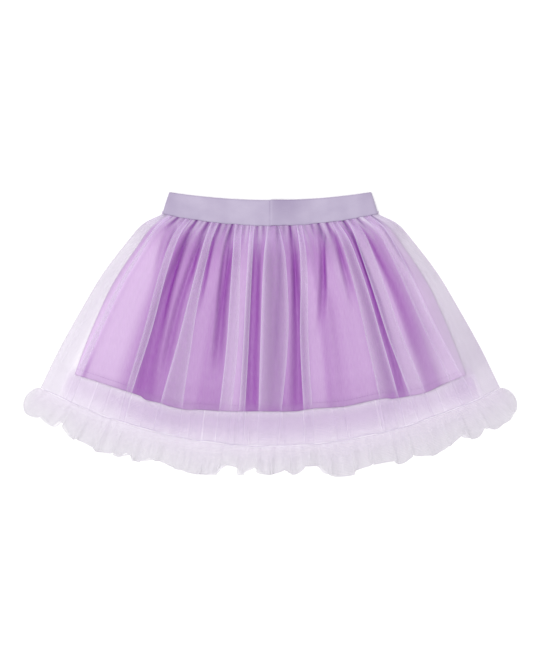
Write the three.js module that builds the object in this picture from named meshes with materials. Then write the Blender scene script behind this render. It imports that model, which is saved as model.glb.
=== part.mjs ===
// A girl's tulle skirt laid flat on its back: an elastic waistband, a satin lining, and a net
// overskirt in knife pleats and gathers, with a fluted net ruffle sewn round its hem.
// Millimetres. X runs across the skirt, Y towards its waist, Z up from the surface it lies on.
// "across" is -1 at the left side and 1 at the right; "run" is 0 at the waist seam and 1 at the hem seam.
import * as THREE from "three";

const { clamp, degToRad, lerp, smoothstep } = THREE.MathUtils;

// Cloth
const WALL = 1.0; // each cloth wall
const BAND_WALL = 1.8; // the elastic
const GAP = 0.35; // between pieces that are sewn together or lie on each other
const LAYER = WALL + 0.4; // from one layer of a folded pleat to the next

// Heights of the middle of each wall where it lies lowest
const BACK_NET = WALL / 2;
const BACK_LINING = BACK_NET + 2 * LAYER + WALL + GAP;
const FRONT_LINING = BACK_LINING + WALL + GAP;
const FRONT_NET = FRONT_LINING + WALL + GAP;
const SIDE_EDGE = BACK_NET + WALL + GAP; // the front net's sides come down onto the back's
const HEM_NET = BACK_NET + 2 * LAYER + WALL + GAP; // the front net at its hem, past the lining
const LOFT = 3; // how high the lining's folds stand, lifting the net
const CLEAR = 0.6; // extra room under the lifted net

// Outline of the overskirt
const WAIST_Y = 115.8;
const HEM_Y = -121.8;
const OUTLINE = [
  { run: 0.0, halfWidth: 117.2, sideY: 128.8 },
  { run: 0.1, halfWidth: 137.7, sideY: 118.4 },
  { run: 0.2, halfWidth: 153.5, sideY: 101.1 },
  { run: 0.4, halfWidth: 181.8, sideY: 63.9 },
  { run: 0.6, halfWidth: 205.7, sideY: 23.8 },
  { run: 0.8, halfWidth: 228.4, sideY: -17.1 },
  { run: 1.0, halfWidth: 248.9, sideY: -59.1 },
];

// Waistband: its rows from the top edge to the waist seam. frontZ is the middle of its front wall.
const BAND_ROWS = [
  { halfWidth: 109.3, sideY: 152.5, middleY: 143.9, frontZ: 3.9 },
  { halfWidth: 113.1, sideY: 140.9, middleY: 130.0, frontZ: 5.6 },
  { halfWidth: 116.6, sideY: 129.2, middleY: 116.2, frontZ: 6.5 },
];
const BAND_STEPS = 22; // across each wall of the flattened loop
const BAND_TURN_STEPS = 4; // round each side fold
const JOIN = { halfWidth: 1.8, depth: 0.5 }; // the groove where the elastic's two ends meet

// Lining: its share of the overskirt's width, its hem and the crests of its soft folds
const LINING_SIDE = [
  { run: 0.0, share: 0.955 },
  { run: 0.1, share: 0.93 },
  { run: 1.0, share: 0.925 },
];
const LINING_HEM = { middle: 0.845, rise: 0.03 };
const LINING_FOLDS = [
  { waist: -0.8, hem: -0.84, halfWidth: 0.13, height: 0.8 },
  { waist: -0.68, hem: -0.7, halfWidth: 0.07, height: 0.6 },
  { waist: -0.46, hem: -0.5, halfWidth: 0.08, height: 0.8 },
  { waist: -0.38, hem: -0.38, halfWidth: 0.09, height: 0.9 },
  { waist: -0.2, hem: -0.18, halfWidth: 0.07, height: 1.0 },
  { waist: 0.0, hem: 0.0, halfWidth: 0.08, height: 0.9 },
  { waist: 0.12, hem: 0.11, halfWidth: 0.06, height: 0.6 },
  { waist: 0.27, hem: 0.26, halfWidth: 0.09, height: 1.0 },
  { waist: 0.47, hem: 0.45, halfWidth: 0.11, height: 1.0 },
  { waist: 0.57, hem: 0.56, halfWidth: 0.06, height: 0.8 },
  { waist: 0.69, hem: 0.7, halfWidth: 0.08, height: 1.0 },
  { waist: 0.85, hem: 0.88, halfWidth: 0.09, height: 0.8 },
];
const LINING_STEPS = { front: 42, back: 22 };
const FRONT_LINING_RUNS = [0, 0.1, 0.2, 0.35, 0.55, 0.72]; // and then the lining's own hem
const BACK_LINING_RUNS = [0, 0.1, 0.35];

// Knife pleats of the net. Each row gives where a pleat's left edge lies across the skirt and how many
// millimetres it overlaps, at each of PLEAT_RUNS. The edge of its top layer is on the left where
// lean is 1 and on the right where it is -1.
const PLEAT_RUNS = [0, 0.15, 0.5, 1];
const FRONT_PLEATS = [
  { lean: 1, left: [-0.93, -0.9, -0.89, -0.885], overlap: [6, 7, 11, 14] },
  { lean: -1, left: [-0.78, -0.745, -0.68, -0.66], overlap: [9, 9, 10, 10] },
  { lean: 1, left: [-0.545, -0.51, -0.49, -0.51], overlap: [8, 8, 13, 28] },
  { lean: 1, left: [-0.325, -0.28, -0.25, -0.245], overlap: [8, 8, 10, 13] },
  { lean: 1, left: [-0.185, -0.168, -0.148, -0.145], overlap: [5, 5.5, 6, 7] },
  { lean: 1, left: [-0.03, -0.05, -0.054, -0.055], overlap: [12, 20, 27, 22] },
  { lean: 1, left: [0.235, 0.225, 0.175, 0.175], overlap: [6, 7, 9, 10] },
  { lean: -1, left: [0.56, 0.545, 0.515, 0.5], overlap: [7, 10, 15, 22] },
  { lean: 1, left: [0.7, 0.65, 0.62, 0.645], overlap: [8, 12, 14, 17] },
  { lean: -1, left: [0.865, 0.83, 0.8, 0.83], overlap: [7, 9, 11, 14] },
];
const BACK_PLEATS = [
  { lean: 1, left: [-0.82, -0.8, -0.79, -0.79], overlap: [6, 8, 11, 15] },
  { lean: 1, left: [-0.64, -0.61, -0.58, -0.57], overlap: [8, 9, 13, 20] },
  { lean: -1, left: [-0.42, -0.4, -0.37, -0.36], overlap: [7, 9, 12, 14] },
  { lean: 1, left: [-0.24, -0.2, -0.17, -0.16], overlap: [8, 9, 10, 16] },
  { lean: 1, left: [0.02, 0.03, 0.05, 0.06], overlap: [7, 10, 16, 24] },
  { lean: -1, left: [0.24, 0.25, 0.28, 0.29], overlap: [6, 8, 11, 13] },
  { lean: 1, left: [0.42, 0.44, 0.48, 0.49], overlap: [8, 8, 12, 18] },
  { lean: -1, left: [0.64, 0.66, 0.69, 0.7], overlap: [7, 8, 10, 15] },
  { lean: -1, left: [0.83, 0.82, 0.83, 0.84], overlap: [6, 7, 9, 11] },
];
const PLEAT_LIP = 1.0; // how far a pleat's top layer runs on past its hidden fold
const PLEAT_SLOPE = { waist: 3.5, hem: 5.5 }; // and how far it then takes to come down
const PLEAT_ROOM = 0.8; // flat cloth left beside a folded edge
const GATHERS = { between: 2, height: 1.3, run: 0.13 }; // between two pleats, fading down their run
const FRONT_NET_SHAPE = { runs: [0, 0.04, 0.1, 0.2, 0.35, 0.55, 0.72, 0.87, 1], sideSteps: 2 };
const BACK_NET_SHAPE = { runs: [0, 0.06, 0.15, 0.35, 0.65, 1], sideSteps: 0 };

// Ruffle: how far it reaches past the hem seam, its flutes, and how it fans out at the side folds
const RUFFLE_REACH = [
  { across: -1.0, reach: 26 },
  { across: -0.97, reach: 32 },
  { across: -0.92, reach: 29 },
  { across: -0.88, reach: 31 },
  { across: -0.855, reach: 24 },
  { across: -0.81, reach: 34 },
  { across: -0.75, reach: 34 },
  { across: -0.69, reach: 38 },
  { across: -0.64, reach: 34.5 },
  { across: -0.61, reach: 36 },
  { across: -0.58, reach: 31.5 },
  { across: -0.55, reach: 36 },
  { across: -0.49, reach: 30.5 },
  { across: -0.44, reach: 30 },
  { across: -0.37, reach: 34 },
  { across: -0.3, reach: 35.5 },
  { across: -0.22, reach: 32 },
  { across: -0.19, reach: 23 },
  { across: -0.15, reach: 23.5 },
  { across: -0.12, reach: 31.5 },
  { across: -0.075, reach: 23.5 },
  { across: -0.03, reach: 29.5 },
  { across: 0.02, reach: 29.5 },
  { across: 0.055, reach: 26.5 },
  { across: 0.11, reach: 30.5 },
  { across: 0.145, reach: 23.5 },
  { across: 0.195, reach: 23.5 },
  { across: 0.225, reach: 32.5 },
  { across: 0.31, reach: 38 },
  { across: 0.37, reach: 33 },
  { across: 0.42, reach: 31 },
  { across: 0.49, reach: 32.5 },
  { across: 0.54, reach: 37 },
  { across: 0.58, reach: 32 },
  { across: 0.65, reach: 38.5 },
  { across: 0.72, reach: 35 },
  { across: 0.78, reach: 30.5 },
  { across: 0.83, reach: 37.5 },
  { across: 0.86, reach: 32.5 },
  { across: 0.9, reach: 37.5 },
  { across: 0.95, reach: 35 },
  { across: 1.0, reach: 27 },
];
const FAN = { turn: degToRad(21), power: 8 }; // how much further out the ruffle turns at a side fold
const FRONT_RUFFLE = { flutes: 25, perFlute: 5, outs: [0, 0.3, 0.65, 1], height: 9, lean: 2.2, phase: 0.4 };
const BACK_RUFFLE = { flutes: 23, perFlute: 4, outs: [0, 0.5, 1], height: 3.4, lean: 1.2, phase: 2.1 };
const RUFFLE_RISE = 1.3; // how much the front ruffle's troughs clear the back ruffle's crests
const SEAM_FLUTE = 0.08; // a flute's height at the hem seam, of that at the free edge

// A column of a table between its rows, on a curve that is smooth at each row.
function read(table, key, column, at) {
  const last = table.length - 1;
  const found = table.findIndex((row) => row[key] >= at);
  const end = found < 0 ? last : Math.max(found, 1);
  const slope = (i) => {
    const before = table[Math.max(i - 1, 0)];
    const after = table[Math.min(i + 1, last)];
    return (after[column] - before[column]) / (after[key] - before[key]);
  };
  const from = table[end - 1];
  const to = table[end];
  const step = to[key] - from[key];
  const t = clamp((at - from[key]) / step, 0, 1);
  const bend = step * t * (1 - t) * (slope(end - 1) * (1 - t) - slope(end) * t);
  return lerp(from[column], to[column], t * t * (3 - 2 * t)) + bend;
}

// One of a pleat's short lists, at a run.
function readPleat(values, run) {
  const rows = values.map((value, i) => ({ run: PLEAT_RUNS[i], value }));
  return read(rows, "run", "value", run);
}

const halfWidth = (run) => read(OUTLINE, "run", "halfWidth", run);
const liningSide = (run) => read(LINING_SIDE, "run", "share", run);
const liningHem = (across) => LINING_HEM.middle + LINING_HEM.rise * across ** 2;
const sideFall = (run) => (1 - liningSide(run)) * 0.95; // the strip where the front net comes down

// A place on the skirt: seen from above, each run is a curve that is lowest at the middle.
function place(x, run, z) {
  const middleY = lerp(WAIST_Y, HEM_Y, run);
  const sideY = read(OUTLINE, "run", "sideY", run);
  return new THREE.Vector3(x, middleY + (sideY - middleY) * (x / halfWidth(run)) ** 2, z);
}

// How high the lining's folds may stand here.
function loft(across, run) {
  const inside = Math.max(0, 1 - Math.abs(across / liningSide(run)) ** 6);
  return LOFT * smoothstep(run, 0.02, 0.4) * inside;
}

// The share of that height that the lining's own folds take.
function foldShare(across, run) {
  const share = LINING_FOLDS.reduce((sum, fold) => {
    const away = Math.abs(across - lerp(fold.waist, fold.hem, run)) / fold.halfWidth;
    return away < 1 ? sum + fold.height * Math.cos((away * Math.PI) / 2) ** 2 : sum;
  }, 0);
  return Math.min(1, share);
}

// Height of the front net: over the lining's crests, lower past its hem, and down at the side folds.
function frontNetHeight(across, run) {
  const raised = FRONT_NET + CLEAR * smoothstep(run, 0.02, 0.15) + loft(across, run);
  const inner = lerp(raised, HEM_NET, smoothstep(run, liningHem(across), 1));
  const inward = clamp((1 - Math.abs(across)) / sideFall(run), 0, 1);
  return lerp(SIDE_EDGE, inner, Math.sin((inward * Math.PI) / 2));
}

// A knife pleat's section: under to its hidden fold, back to its edge, and over again.
function pleat(left, right, slope, lean) {
  const tip = LAYER / 2;
  const lip = right + tip + PLEAT_LIP;
  const points = [
    { x: right, lift: 0 },
    { x: right + tip, lift: LAYER / 2 },
    { x: right, lift: LAYER },
    { x: left, lift: LAYER },
    { x: left - tip, lift: 1.5 * LAYER },
    { x: left, lift: 2 * LAYER },
    { x: lip, lift: 2 * LAYER },
    { x: lip + slope, lift: 0 },
  ];
  if (lean > 0) return [{ x: left - tip - PLEAT_ROOM, lift: 0 }, ...points];
  const turned = points.map(({ x, lift }) => ({ x: left + right - x, lift })).reverse();
  return [...turned, { x: right + tip + PLEAT_ROOM, lift: 0 }];
}

// Small gathers in the flat cloth between two places.
function gathers(from, to, height) {
  const inner = 2 * GATHERS.between - 1;
  const most = Math.min(height, (0.25 * (to - from)) / GATHERS.between);
  return Array.from({ length: inner }, (_, i) => ({
    x: lerp(from, to, (i + 1) / (inner + 1)),
    lift: i % 2 ? 0 : most,
  }));
}

// One run of a net panel, from its left side fold to its right one.
function netRow(pleats, run, sideSteps) {
  const side = halfWidth(run);
  const gatherHeight = GATHERS.height * (1 - smoothstep(run, 0, GATHERS.run));
  const slope = lerp(PLEAT_SLOPE.waist, PLEAT_SLOPE.hem, run);
  const inward = (i) => (i / Math.max(sideSteps, 1)) * sideFall(run) * side;
  const sideStrip = Array.from({ length: sideSteps + 1 }, (_, i) => side - inward(i));
  const row = sideStrip.map((x) => ({ x: -x, lift: 0 }));
  const folds = pleats.map(({ lean, left, overlap }) => {
    const from = readPleat(left, run) * side;
    return pleat(from, from + readPleat(overlap, run), slope, lean);
  });
  for (const next of [...folds, sideStrip.reverse().map((x) => ({ x, lift: 0 }))]) {
    row.push(...gathers(row.at(-1).x, next[0].x, gatherHeight), ...next);
  }
  return row;
}

// A net panel as rows of places, at the height that the cloth below gives it.
function netPanel(pleats, { runs, sideSteps }, height) {
  return runs.map((run) => ({
    at: run,
    points: netRow(pleats, run, sideSteps).map(({ x, lift }) => ({
      x,
      z: height(x / halfWidth(run), run) + lift,
    })),
  }));
}

// A lining panel between its sides. Its last row is its hem, which has a run of its own at each point.
function liningPanel(steps, runs, height) {
  return [...runs, 1].map((run, i) => ({
    at: run,
    points: Array.from({ length: steps + 1 }, (_, j) => {
      const along = lerp(-1, 1, j / steps);
      const down = i < runs.length ? run : liningHem(along);
      const across = along * liningSide(down);
      return { x: across * halfWidth(down), z: height(across, down), down };
    }),
  }));
}

// A ruffle strip, gathered onto the hem seam; its flutes grow towards its free edge.
function ruffleStrip({ flutes, perFlute, outs, height, lean, phase }, base) {
  const points = flutes * perFlute + 1;
  return outs.map((out) => ({
    at: out,
    points: Array.from({ length: points }, (_, j) => {
      const across = lerp(-1, 1, j / (points - 1));
      const turn = phase + Math.PI * flutes * (across + 0.012 * Math.sin(9 * across + phase));
      const size = 0.75 + 0.25 * Math.sin(7 * across + phase);
      const inside = 1 - across ** 10;
      const flute = height * size * inside * lerp(SEAM_FLUTE, 1, out) * (0.5 + 0.5 * Math.sin(turn));
      const shift = lean * out * inside * Math.cos(turn);
      return { x: across * halfWidth(1) + shift, z: base(across, out) + flute };
    }),
  }));
}

// Where a point of the ruffle lies: out from the hem seam, and turned further out at the side folds.
function besideHem(x, out, z) {
  const seam = place(x, 1, z);
  const across = x / halfWidth(1);
  const slope = (2 * (place(halfWidth(1), 1, 0).y - HEM_Y) * across) / halfWidth(1);
  const angle = Math.atan(slope) + Math.sign(x) * FAN.turn * Math.abs(across) ** FAN.power;
  const reach = GAP + out * read(RUFFLE_REACH, "across", "reach", across);
  return new THREE.Vector3(seam.x + Math.sin(angle) * reach, seam.y - Math.cos(angle) * reach, z);
}

// The waistband's section: along its front, round its right fold, back, and round its left fold.
function bandLoop({ halfWidth: outer, frontZ }) {
  const backZ = BAND_WALL / 2;
  const radius = (frontZ - backZ) / 2;
  const straight = outer - BAND_WALL / 2 - radius;
  const front = Array.from({ length: BAND_STEPS + 1 }, (_, j) => {
    const x = lerp(-straight, straight, j / BAND_STEPS);
    return { x, z: frontZ };
  });
  const groove = [-1, -0.4, 0.4, 1].map((side) => ({
    x: side * JOIN.halfWidth,
    z: frontZ,
    inset: Math.abs(side) < 1 ? JOIN.depth : 0,
  }));
  const aside = (a, b) => a.x - b.x;
  const top = [...front.filter(({ x }) => Math.abs(x) > 2 * JOIN.halfWidth), ...groove].sort(aside);
  const turn = Array.from({ length: BAND_TURN_STEPS - 1 }, (_, j) => {
    const angle = (Math.PI * (j + 1)) / BAND_TURN_STEPS;
    return { x: straight + radius * Math.sin(angle), z: backZ + radius * (1 + Math.cos(angle)) };
  });
  const back = front.map(({ x }) => ({ x: -x, z: backZ }));
  const leftTurn = turn.map(({ x, z }) => ({ x: -x, z })).reverse();
  return [...top, ...turn, ...back, ...leftTurn];
}

function besideBand(x, row, z) {
  const { halfWidth: outer, sideY, middleY } = BAND_ROWS[row];
  return new THREE.Vector3(x, middleY + (sideY - middleY) * (x / outer) ** 2, z);
}

// A section's point moved off its line, to one face of the wall, with square corners at its bends.
function offset(points, j, distance, closed) {
  const count = points.length;
  const before = points[closed ? (j + count - 1) % count : Math.max(j - 1, 0)];
  const after = points[closed ? (j + 1) % count : Math.min(j + 1, count - 1)];
  const here = points[j];
  const into = new THREE.Vector2(here.x - before.x, here.z - before.z).normalize();
  const out = new THREE.Vector2(after.x - here.x, after.z - here.z).normalize();
  const along = into.add(out);
  const isEnd = before === here || after === here;
  const miter = isEnd ? 1 : Math.min(1.45, 2 / along.length());
  along.normalize().multiplyScalar(distance * miter);
  return { ...here, x: here.x - along.y, z: here.z + along.x };
}

// A closed wall of cloth round the rows of its middle surface; lay turns a row's point into a place.
function wall(rows, thickness, lay, closed = false) {
  const count = rows[0].points.length;
  const faces = [1, -1].map((face) =>
    rows.flatMap(({ at, points }) =>
      points.map((point, j) => {
        const inset = face > 0 ? (point.inset ?? 0) : 0;
        const moved = offset(points, j, face * (thickness / 2 - inset), closed);
        return lay(moved.x, moved.down ?? at, Math.max(moved.z, 0)); // never below what it lies on
      }),
    ),
  );
  const geometry = new THREE.BufferGeometry().setFromPoints(faces.flat());
  const under = rows.length * count;
  const index = [];
  const quad = (a, b, c, d) => index.push(a, b, c, a, c, d);
  const edge = (from, to) => quad(to, from, from + under, to + under);
  const spans = closed ? count : count - 1;
  for (let j = 0; j < spans; j += 1) {
    const next = (j + 1) % count;
    for (let i = 0; i < rows.length - 1; i += 1) {
      const corners = [i * count + j, (i + 1) * count + j, (i + 1) * count + next, i * count + next];
      // Where the cloth doubles back, its faces are split the same way as those it lies on.
      if (rows[i].points[next].x < rows[i].points[j].x) corners.push(corners.shift());
      const [a, b, c, d] = corners;
      quad(a, b, c, d);
      quad(a + under, d + under, c + under, b + under);
    }
    edge(next, j);
    edge((rows.length - 1) * count + j, (rows.length - 1) * count + next);
  }
  for (let i = 0; i < rows.length - 1 && !closed; i += 1) {
    edge(i * count, (i + 1) * count);
    edge((i + 2) * count - 1, (i + 1) * count - 1);
  }
  geometry.setIndex(index);
  geometry.computeVertexNormals();
  return geometry;
}

const elastic = { color: 0xc5b4d3, roughness: 0.85, metalness: 0 };
const satin = { color: 0x8e52a6, roughness: 0.45, metalness: 0 };
const net = { color: 0xcbb3da, roughness: 0.7, metalness: 0 };
const ruffleNet = { color: 0xe4dcec, roughness: 0.7, metalness: 0 };

const skirt = new THREE.Group();

function add(name, look, geometry) {
  const mesh = new THREE.Mesh(geometry, new THREE.MeshStandardMaterial(look));
  mesh.name = name;
  skirt.add(mesh);
}

const bandRows = BAND_ROWS.map((row, at) => ({ at, points: bandLoop(row) }));
add("waistband", elastic, wall(bandRows, BAND_WALL, besideBand, true));

const backLining = liningPanel(LINING_STEPS.back, BACK_LINING_RUNS, () => BACK_LINING);
add("lining_back", satin, wall(backLining, WALL, place));

const frontLiningHeight = (across, run) => FRONT_LINING + loft(across, run) * foldShare(across, run);
const frontLining = liningPanel(LINING_STEPS.front, FRONT_LINING_RUNS, frontLiningHeight);
add("lining_front", satin, wall(frontLining, WALL, place));

const backNet = netPanel(BACK_PLEATS, BACK_NET_SHAPE, () => BACK_NET);
add("tulle_back", net, wall(backNet, WALL, place));

const frontNet = netPanel(FRONT_PLEATS, FRONT_NET_SHAPE, frontNetHeight);
add("tulle_front", net, wall(frontNet, WALL, place));

const backRuffle = ruffleStrip(BACK_RUFFLE, () => BACK_NET);
add("ruffle_back", ruffleNet, wall(backRuffle, WALL, besideHem));

const frontRuffleBase = (across, out) => frontNetHeight(across, 1) + RUFFLE_RISE * out;
const frontRuffle = ruffleStrip(FRONT_RUFFLE, frontRuffleBase);
add("ruffle_front", ruffleNet, wall(frontRuffle, WALL, besideHem));

// The origin is the middle of the underside.
const box = new THREE.Box3().setFromObject(skirt, true);
const middle = box.getCenter(new THREE.Vector3());
skirt.position.set(-middle.x, -middle.y, -box.min.z);

export default skirt;
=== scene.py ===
import math

import bmesh
import bpy
import numpy as np
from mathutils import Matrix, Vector


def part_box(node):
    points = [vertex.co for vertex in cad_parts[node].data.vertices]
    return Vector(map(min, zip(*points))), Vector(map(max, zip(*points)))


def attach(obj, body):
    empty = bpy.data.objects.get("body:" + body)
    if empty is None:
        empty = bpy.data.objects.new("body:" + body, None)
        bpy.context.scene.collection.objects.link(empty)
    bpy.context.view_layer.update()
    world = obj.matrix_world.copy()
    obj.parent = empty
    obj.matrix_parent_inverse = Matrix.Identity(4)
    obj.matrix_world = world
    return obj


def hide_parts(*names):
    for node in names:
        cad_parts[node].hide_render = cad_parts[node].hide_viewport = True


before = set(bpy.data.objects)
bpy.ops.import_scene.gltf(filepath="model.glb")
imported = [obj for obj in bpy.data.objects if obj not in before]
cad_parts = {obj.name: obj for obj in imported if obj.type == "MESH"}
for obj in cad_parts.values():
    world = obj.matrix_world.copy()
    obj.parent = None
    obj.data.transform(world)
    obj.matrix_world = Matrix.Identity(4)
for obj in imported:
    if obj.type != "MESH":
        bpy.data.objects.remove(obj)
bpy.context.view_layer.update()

# Shapes are worked out in millimetres: X across the skirt, Y towards its waist, Z up from the surface.
# "across" is -1 at the left side and 1 at the right; "run" is 0 at the waist seam and 1 at the hem seam.
MM = 0.001
BAND_TOP_Y = 152.5  # the highest point of the waistband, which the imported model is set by
band_low, band_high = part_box("waistband")
ORIGIN = np.array([(band_low.x + band_high.x) / 2 / MM, band_high.y / MM - BAND_TOP_Y, 0.0])

# The skirt's sizes

GAP = 0.35  # between net and ruffle at the hem seam
LAYER = 0.7  # from one layer of a folded pleat to the next
FOLD_RADIUS = 0.4  # of a pleat's pressed folds
SHOULDER = 1.7  # how far a pleat's top layer reaches past the fold under it
SHOULDER_RADIUS = 2.5  # of the soft bends where that layer comes down again
BAND_WALL = 1.8
SATIN_WALL = 0.35
LINING_HEM_TURN = 6.0  # how wide the lining's turned hem is
# Heights above the surface.
BACK_NET = 0.5
BACK_LINING = 4.65
FRONT_LINING = 6.0
HEM_NET = 4.65
LOFT = 5.0  # how high the lining's folds stand
NET_CLEAR = 1.5  # how far above those folds the front net hangs
SETTLED = 1.8  # how much lower both linings lie at their hems and side seams
TUCK = 0.014  # the part of the run that goes up inside the waistband
NET_CLOSENESS = 0.135  # the share of the net that is yarn and not opening
RUFFLE_CLOSENESS = 0.4

WAIST_Y = 115.8
HEM_Y = -121.8
OUTLINE = {
    "run": [0.0, 0.1, 0.2, 0.4, 0.6, 0.8, 1.0],
    "half_width": [117.2, 137.7, 153.5, 181.8, 205.7, 228.4, 248.9],
    "side_y": [128.8, 118.4, 101.1, 63.9, 23.8, -17.1, -59.1],
}
BAND = {
    "down": [0.0, 0.5, 1.0],
    "half_width": [109.3, 113.1, 116.6],
    "side_y": [152.5, 140.9, 129.2],
    "middle_y": [143.9, 130.0, 116.2],
    "front_z": [3.9, 5.6, 6.5],
}
LINING_SIDE = {"run": [0.0, 0.1, 0.5, 1.0], "share": [0.955, 0.93, 0.92, 0.885]}
LINING_HEM = {"middle": 0.845, "rise": 0.03}
# How many millimetres lower than that curve its hem hangs, fold by fold.
HEM_DROP = {
    "across": [-1.0, -0.9, -0.67, -0.64, -0.56, -0.53, -0.44, -0.41, -0.37, -0.25, -0.05, 0.14, 0.17,
               0.23, 0.39, 0.53, 0.6, 0.62, 0.7, 0.79, 0.88, 1.0],
    "drop": [0.0, -1.0, 0.5, 3.2, 3.2, 4.5, 5.2, 4.6, 3.0, 1.6, -0.5, 0.0, -0.8,
             -1.6, 0.0, -1.4, -0.5, 1.3, 3.0, 4.5, 2.0, 0.0],
}

# Creases of the lining: where each lies at the waist and the hem, its half width there, its depth as a
# share of the loft, and the runs between which it is at its deepest.
LINING_CREASES = [
    {"at": (-0.86, -0.858), "half": (0.012, 0.014), "depth": 0.5, "runs": (0.78, 0.95)},
    {"at": (-0.84, -0.44), "half": (0.035, 0.07), "depth": 0.5, "runs": (0.0, 0.18)},
    {"at": (-0.66, -0.575), "half": (0.03, 0.08), "depth": 1.0, "runs": (0.0, 0.95)},
    {"at": (-0.55, -0.515), "half": (0.03, 0.035), "depth": 0.6, "runs": (0.0, 0.6)},
    {"at": (-0.46, -0.42), "half": (0.02, 0.03), "depth": 0.6, "runs": (0.0, 0.15)},
    {"at": (-0.36, -0.2), "half": (0.02, 0.05), "depth": 0.8, "runs": (0.0, 0.3)},
    {"at": (-0.31, -0.25), "half": (0.04, 0.04), "depth": 0.9, "runs": (0.05, 0.5)},
    {"at": (-0.115, -0.085), "half": (0.04, 0.055), "depth": 1.0, "runs": (0.0, 1.0)},
    {"at": (-0.1, -0.08), "half": (0.035, 0.04), "depth": 0.6, "runs": (0.02, 0.4)},
    {"at": (0.03, 0.02), "half": (0.07, 0.05), "depth": 0.85, "runs": (0.0, 0.9)},
    {"at": (0.06, 0.02), "half": (0.05, 0.04), "depth": 0.7, "runs": (0.02, 0.3)},
    {"at": (0.19, 0.115), "half": (0.03, 0.055), "depth": 1.0, "runs": (0.0, 1.0)},
    {"at": (0.43, 0.12), "half": (0.025, 0.05), "depth": 0.75, "runs": (0.0, 0.3)},
    {"at": (0.4, 0.345), "half": (0.03, 0.05), "depth": 0.22, "runs": (0.35, 0.85)},
    {"at": (0.52, 0.45), "half": (0.03, 0.04), "depth": 0.7, "runs": (0.0, 0.22)},
    {"at": (0.6, 0.575), "half": (0.05, 0.055), "depth": 0.7, "runs": (0.0, 0.95)},
    {"at": (0.655, 0.6), "half": (0.02, 0.02), "depth": 0.9, "runs": (0.0, 1.0)},
    {"at": (0.77, 0.745), "half": (0.04, 0.06), "depth": 0.5, "runs": (0.12, 0.8)},
]

# Painted highlights of the satin: where its colour is painted lighter, on the broad flats that its floats lie
# smooth on.
LINING_PAINTED_HIGHLIGHTS = [
    {"at": (-0.8, -0.785), "half": (0.11, 0.145), "light": 0.42, "runs": (0.1, 1.0)},
    {"at": (-0.885, -0.885), "half": (0.035, 0.035), "light": 0.4, "runs": (0.12, 1.0)},
    {"at": (-0.95, -0.92), "half": (0.05, 0.06), "light": 0.4, "runs": (0.0, 1.0)},
    {"at": (-0.39, -0.38), "half": (0.05, 0.06), "light": 0.12, "runs": (0.08, 1.0)},
    {"at": (-0.19, -0.18), "half": (0.06, 0.06), "light": 0.3, "runs": (0.05, 1.0)},
    {"at": (0.27, 0.22), "half": (0.05, 0.06), "light": 0.25, "runs": (0.15, 1.0)},
    {"at": (0.46, 0.41), "half": (0.1, 0.16), "light": 0.22, "runs": (0.15, 1.0)},
    {"at": (0.7, 0.67), "half": (0.045, 0.05), "light": 0.3, "runs": (0.1, 1.0)},
    {"at": (0.91, 0.88), "half": (0.11, 0.12), "light": 0.55, "runs": (0.05, 1.0)},
    {"at": (0.8, 0.8), "half": (0.16, 0.2), "light": 0.2, "runs": (0.75, 1.0)},
]

# Where the gathers are drawn in deepest under the waistband, how deep they go, and how far they run down.
WAIST_NOTCHES = {
    "at": [-0.96, -0.9, -0.85, -0.79, -0.735, -0.68, -0.625, -0.57, -0.515, -0.46, -0.405, -0.35, -0.29,
           -0.24, -0.18, -0.12, -0.065, 0.0, 0.07, 0.125, 0.18, 0.25, 0.31, 0.375, 0.44, 0.52,
           0.59, 0.67, 0.73, 0.8, 0.865, 0.93],
    "deep": [0.5, 0.4, 0.9, 0.5, 0.6, 1.0, 0.5, 1.0, 0.6, 1.0, 0.6, 1.0, 0.5,
             0.6, 0.5, 0.7, 0.6, 0.4, 0.8, 0.6, 1.0, 0.5, 0.6, 0.7, 1.0, 0.9,
             0.5, 1.0, 0.5, 0.8, 0.5, 0.8],
    "long": [0.08, 0.06, 0.12, 0.08, 0.07, 0.16, 0.06, 0.15, 0.07, 0.13, 0.08, 0.17, 0.07,
             0.08, 0.06, 0.1, 0.07, 0.05, 0.12, 0.07, 0.16, 0.07, 0.08, 0.09, 0.17, 0.14,
             0.06, 0.16, 0.07, 0.12, 0.08, 0.13],
}

# The runs at which the tables of folds and pleats say where each one lies.
PLEAT_RUNS = [0.0, 0.15, 0.5, 1.0]

# Narrow deep folds that net and satin share: where each lies across the skirt at each of PLEAT_RUNS, how
# deep it goes, and how far it runs down.
DEEP_FOLDS = [
    {"at": [-0.8, -0.755, -0.7, -0.66], "deep": 0.6, "long": 0.22},
    {"at": [-0.68, -0.645, -0.592, -0.53], "deep": 1.0, "long": 0.66},
    {"at": [-0.575, -0.535, -0.49, -0.44], "deep": 0.8, "long": 0.36},
    {"at": [-0.475, -0.438, -0.41, -0.38], "deep": 0.9, "long": 0.46},
    {"at": [-0.355, -0.31, -0.275, -0.25], "deep": 0.6, "long": 0.55},
    {"at": [-0.11, -0.09, -0.078, -0.07], "deep": 0.35, "long": 0.6},
    {"at": [0.085, 0.068, 0.034, 0.02], "deep": 0.4, "long": 0.8},
    {"at": [0.2, 0.182, 0.135, 0.12], "deep": 0.5, "long": 0.5},
    {"at": [0.5, 0.398, 0.32, 0.29], "deep": 0.85, "long": 0.4},
    {"at": [0.55, 0.513, 0.47, 0.44], "deep": 0.7, "long": 0.26},
    {"at": [0.672, 0.645, 0.609, 0.609], "deep": 1.0, "long": 0.78},
    {"at": [0.79, 0.75, 0.74, 0.74], "deep": 0.3, "long": 0.4},
    {"at": [0.92, 0.882, 0.868, 0.87], "deep": 0.5, "long": 0.42},
]

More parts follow.
